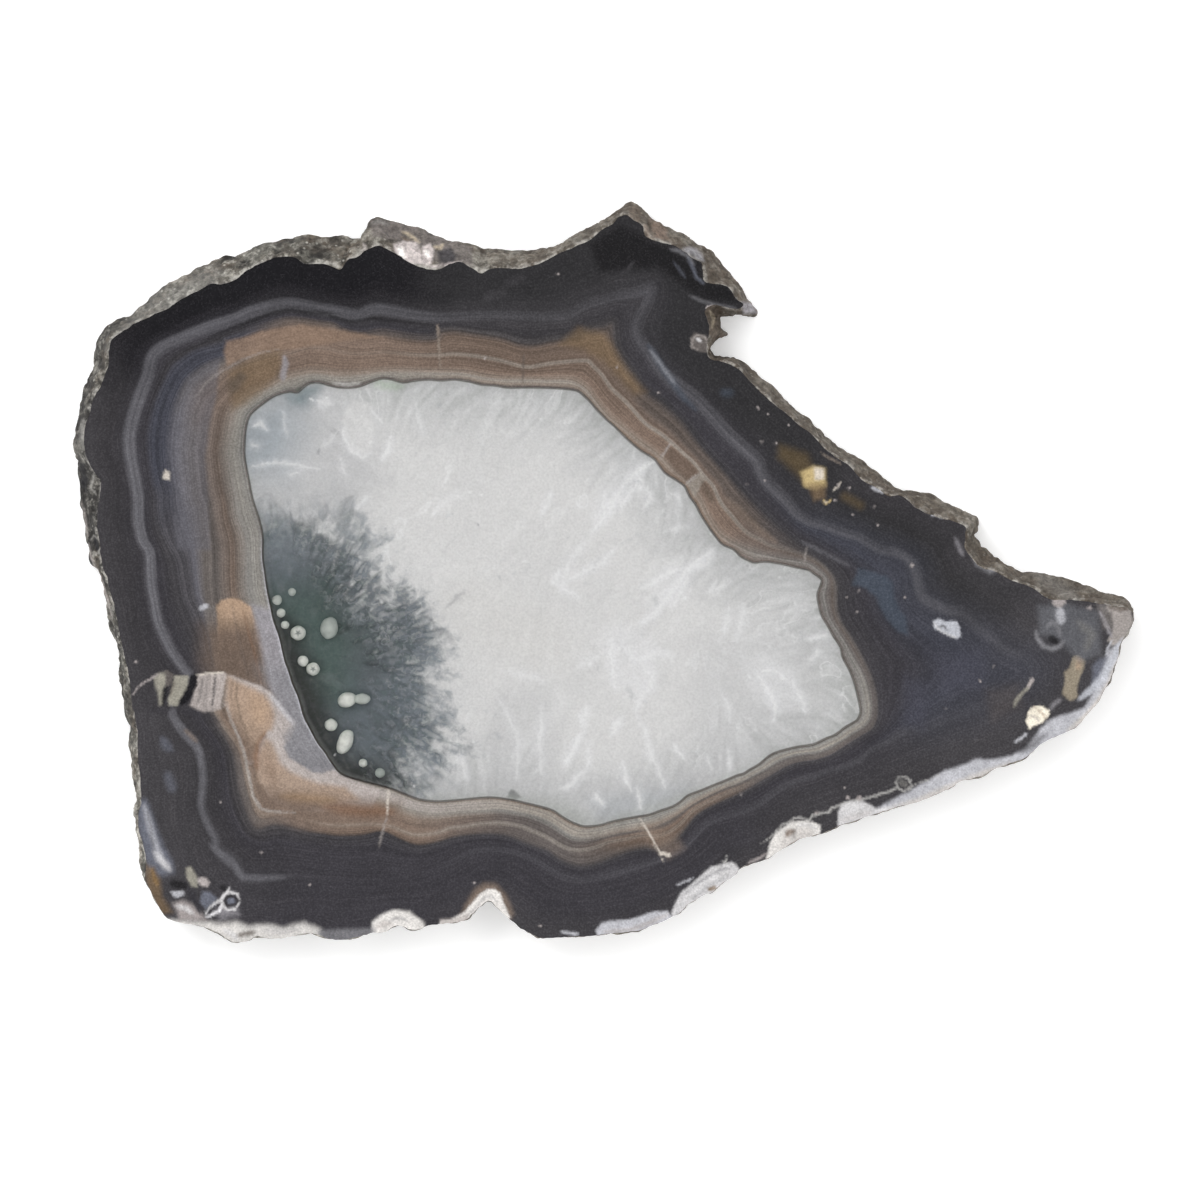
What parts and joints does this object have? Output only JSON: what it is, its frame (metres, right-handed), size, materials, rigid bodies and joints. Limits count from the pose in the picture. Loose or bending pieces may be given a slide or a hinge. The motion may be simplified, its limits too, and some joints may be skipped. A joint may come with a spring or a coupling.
{
  "type": "agate slice",
  "caption": "Flat slab of banded agate with a quartz heart and a rough natural rind, for lying on a table or shelf with its polished face up.",
  "frame": {"origin": "centre of the outline's box, at the sawn back face on which the slice lies", "axes": "+X along the slice's length, +Y across it in its plane, +Z out of the polished face"},
  "size_m": [0.1483, 0.1036, 0.0065],
  "materials": {
    "banded_agate": "polished dark chalcedony with violet-grey, brown and pale bands"
  },
  "bodies": {
    "root": {"agate_slice": "banded_agate"}
  },
  "joints": []
}
